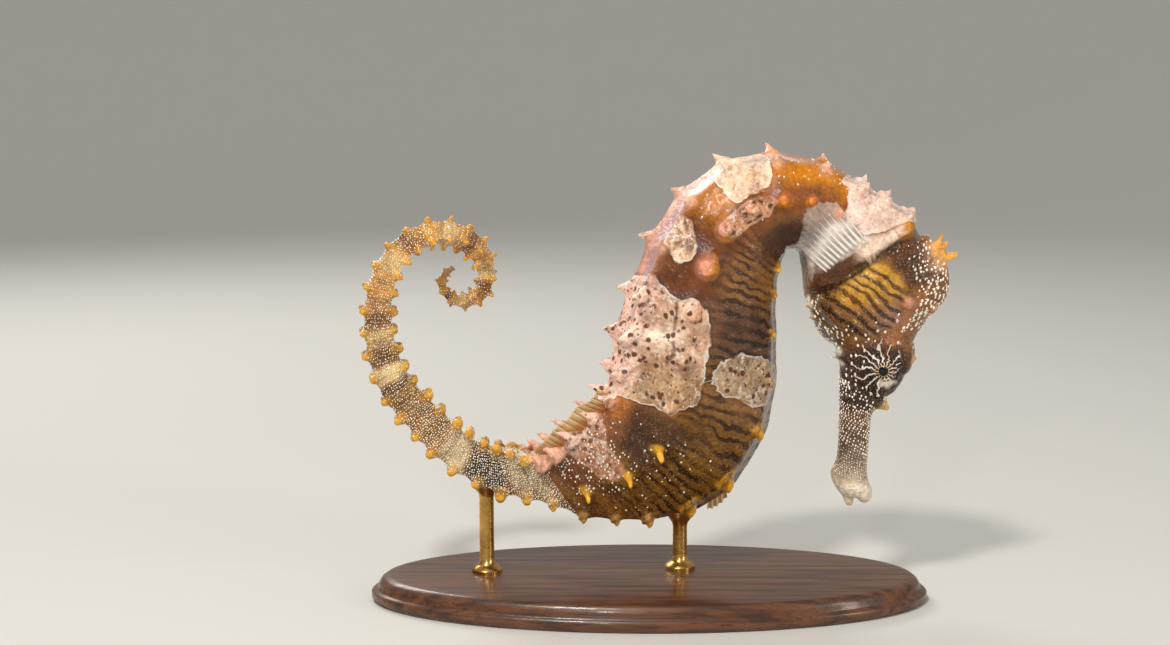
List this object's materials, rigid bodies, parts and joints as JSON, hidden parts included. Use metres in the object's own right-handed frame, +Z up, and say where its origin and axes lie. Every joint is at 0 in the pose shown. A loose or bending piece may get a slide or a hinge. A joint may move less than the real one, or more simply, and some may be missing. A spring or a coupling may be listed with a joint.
{
  "type": "lined seahorse model",
  "caption": "Life-size still model of a lined seahorse, head bowed and ringed tail curling up behind its back, held over an oval wooden base by short brass rods.",
  "frame": {"origin": "middle of the underside of the display base", "axes": "+Z up, +X the way the animal faces, -Y its right side"},
  "size_m": [0.0809, 0.036, 0.0621],
  "materials": {
    "skin": "wet, glossy fish skin: orange-brown with pale pink patches, dark wavy stripes and fine pale beads",
    "eye": "clear polished eye over a dark brown iris with pale rays",
    "fin": "thin, milky, half-clear membrane with stiff rays",
    "stand_wood": "dark stained hardwood under satin varnish",
    "stand_metal": "satin brass"
  },
  "bodies": {
    "root": {"head": "skin", "snout": "skin", "coronet": "skin", "neck": "skin", "trunk_upper": "skin", "trunk_lower": "skin", "tail_1": "skin", "tail_2": "skin", "tail_3": "skin", "tail_4": "skin", "tail_5": "skin", "tail_6": "skin", "eye_right": "eye", "eye_left": "eye", "pectoral_fin_right": "fin", "pectoral_fin_left": "fin", "dorsal_fin": "fin", "anal_fin": "fin", "stand_base": "stand_wood", "stand_rod_front": "stand_metal", "stand_rod_rear": "stand_metal"}
  },
  "joints": []
}
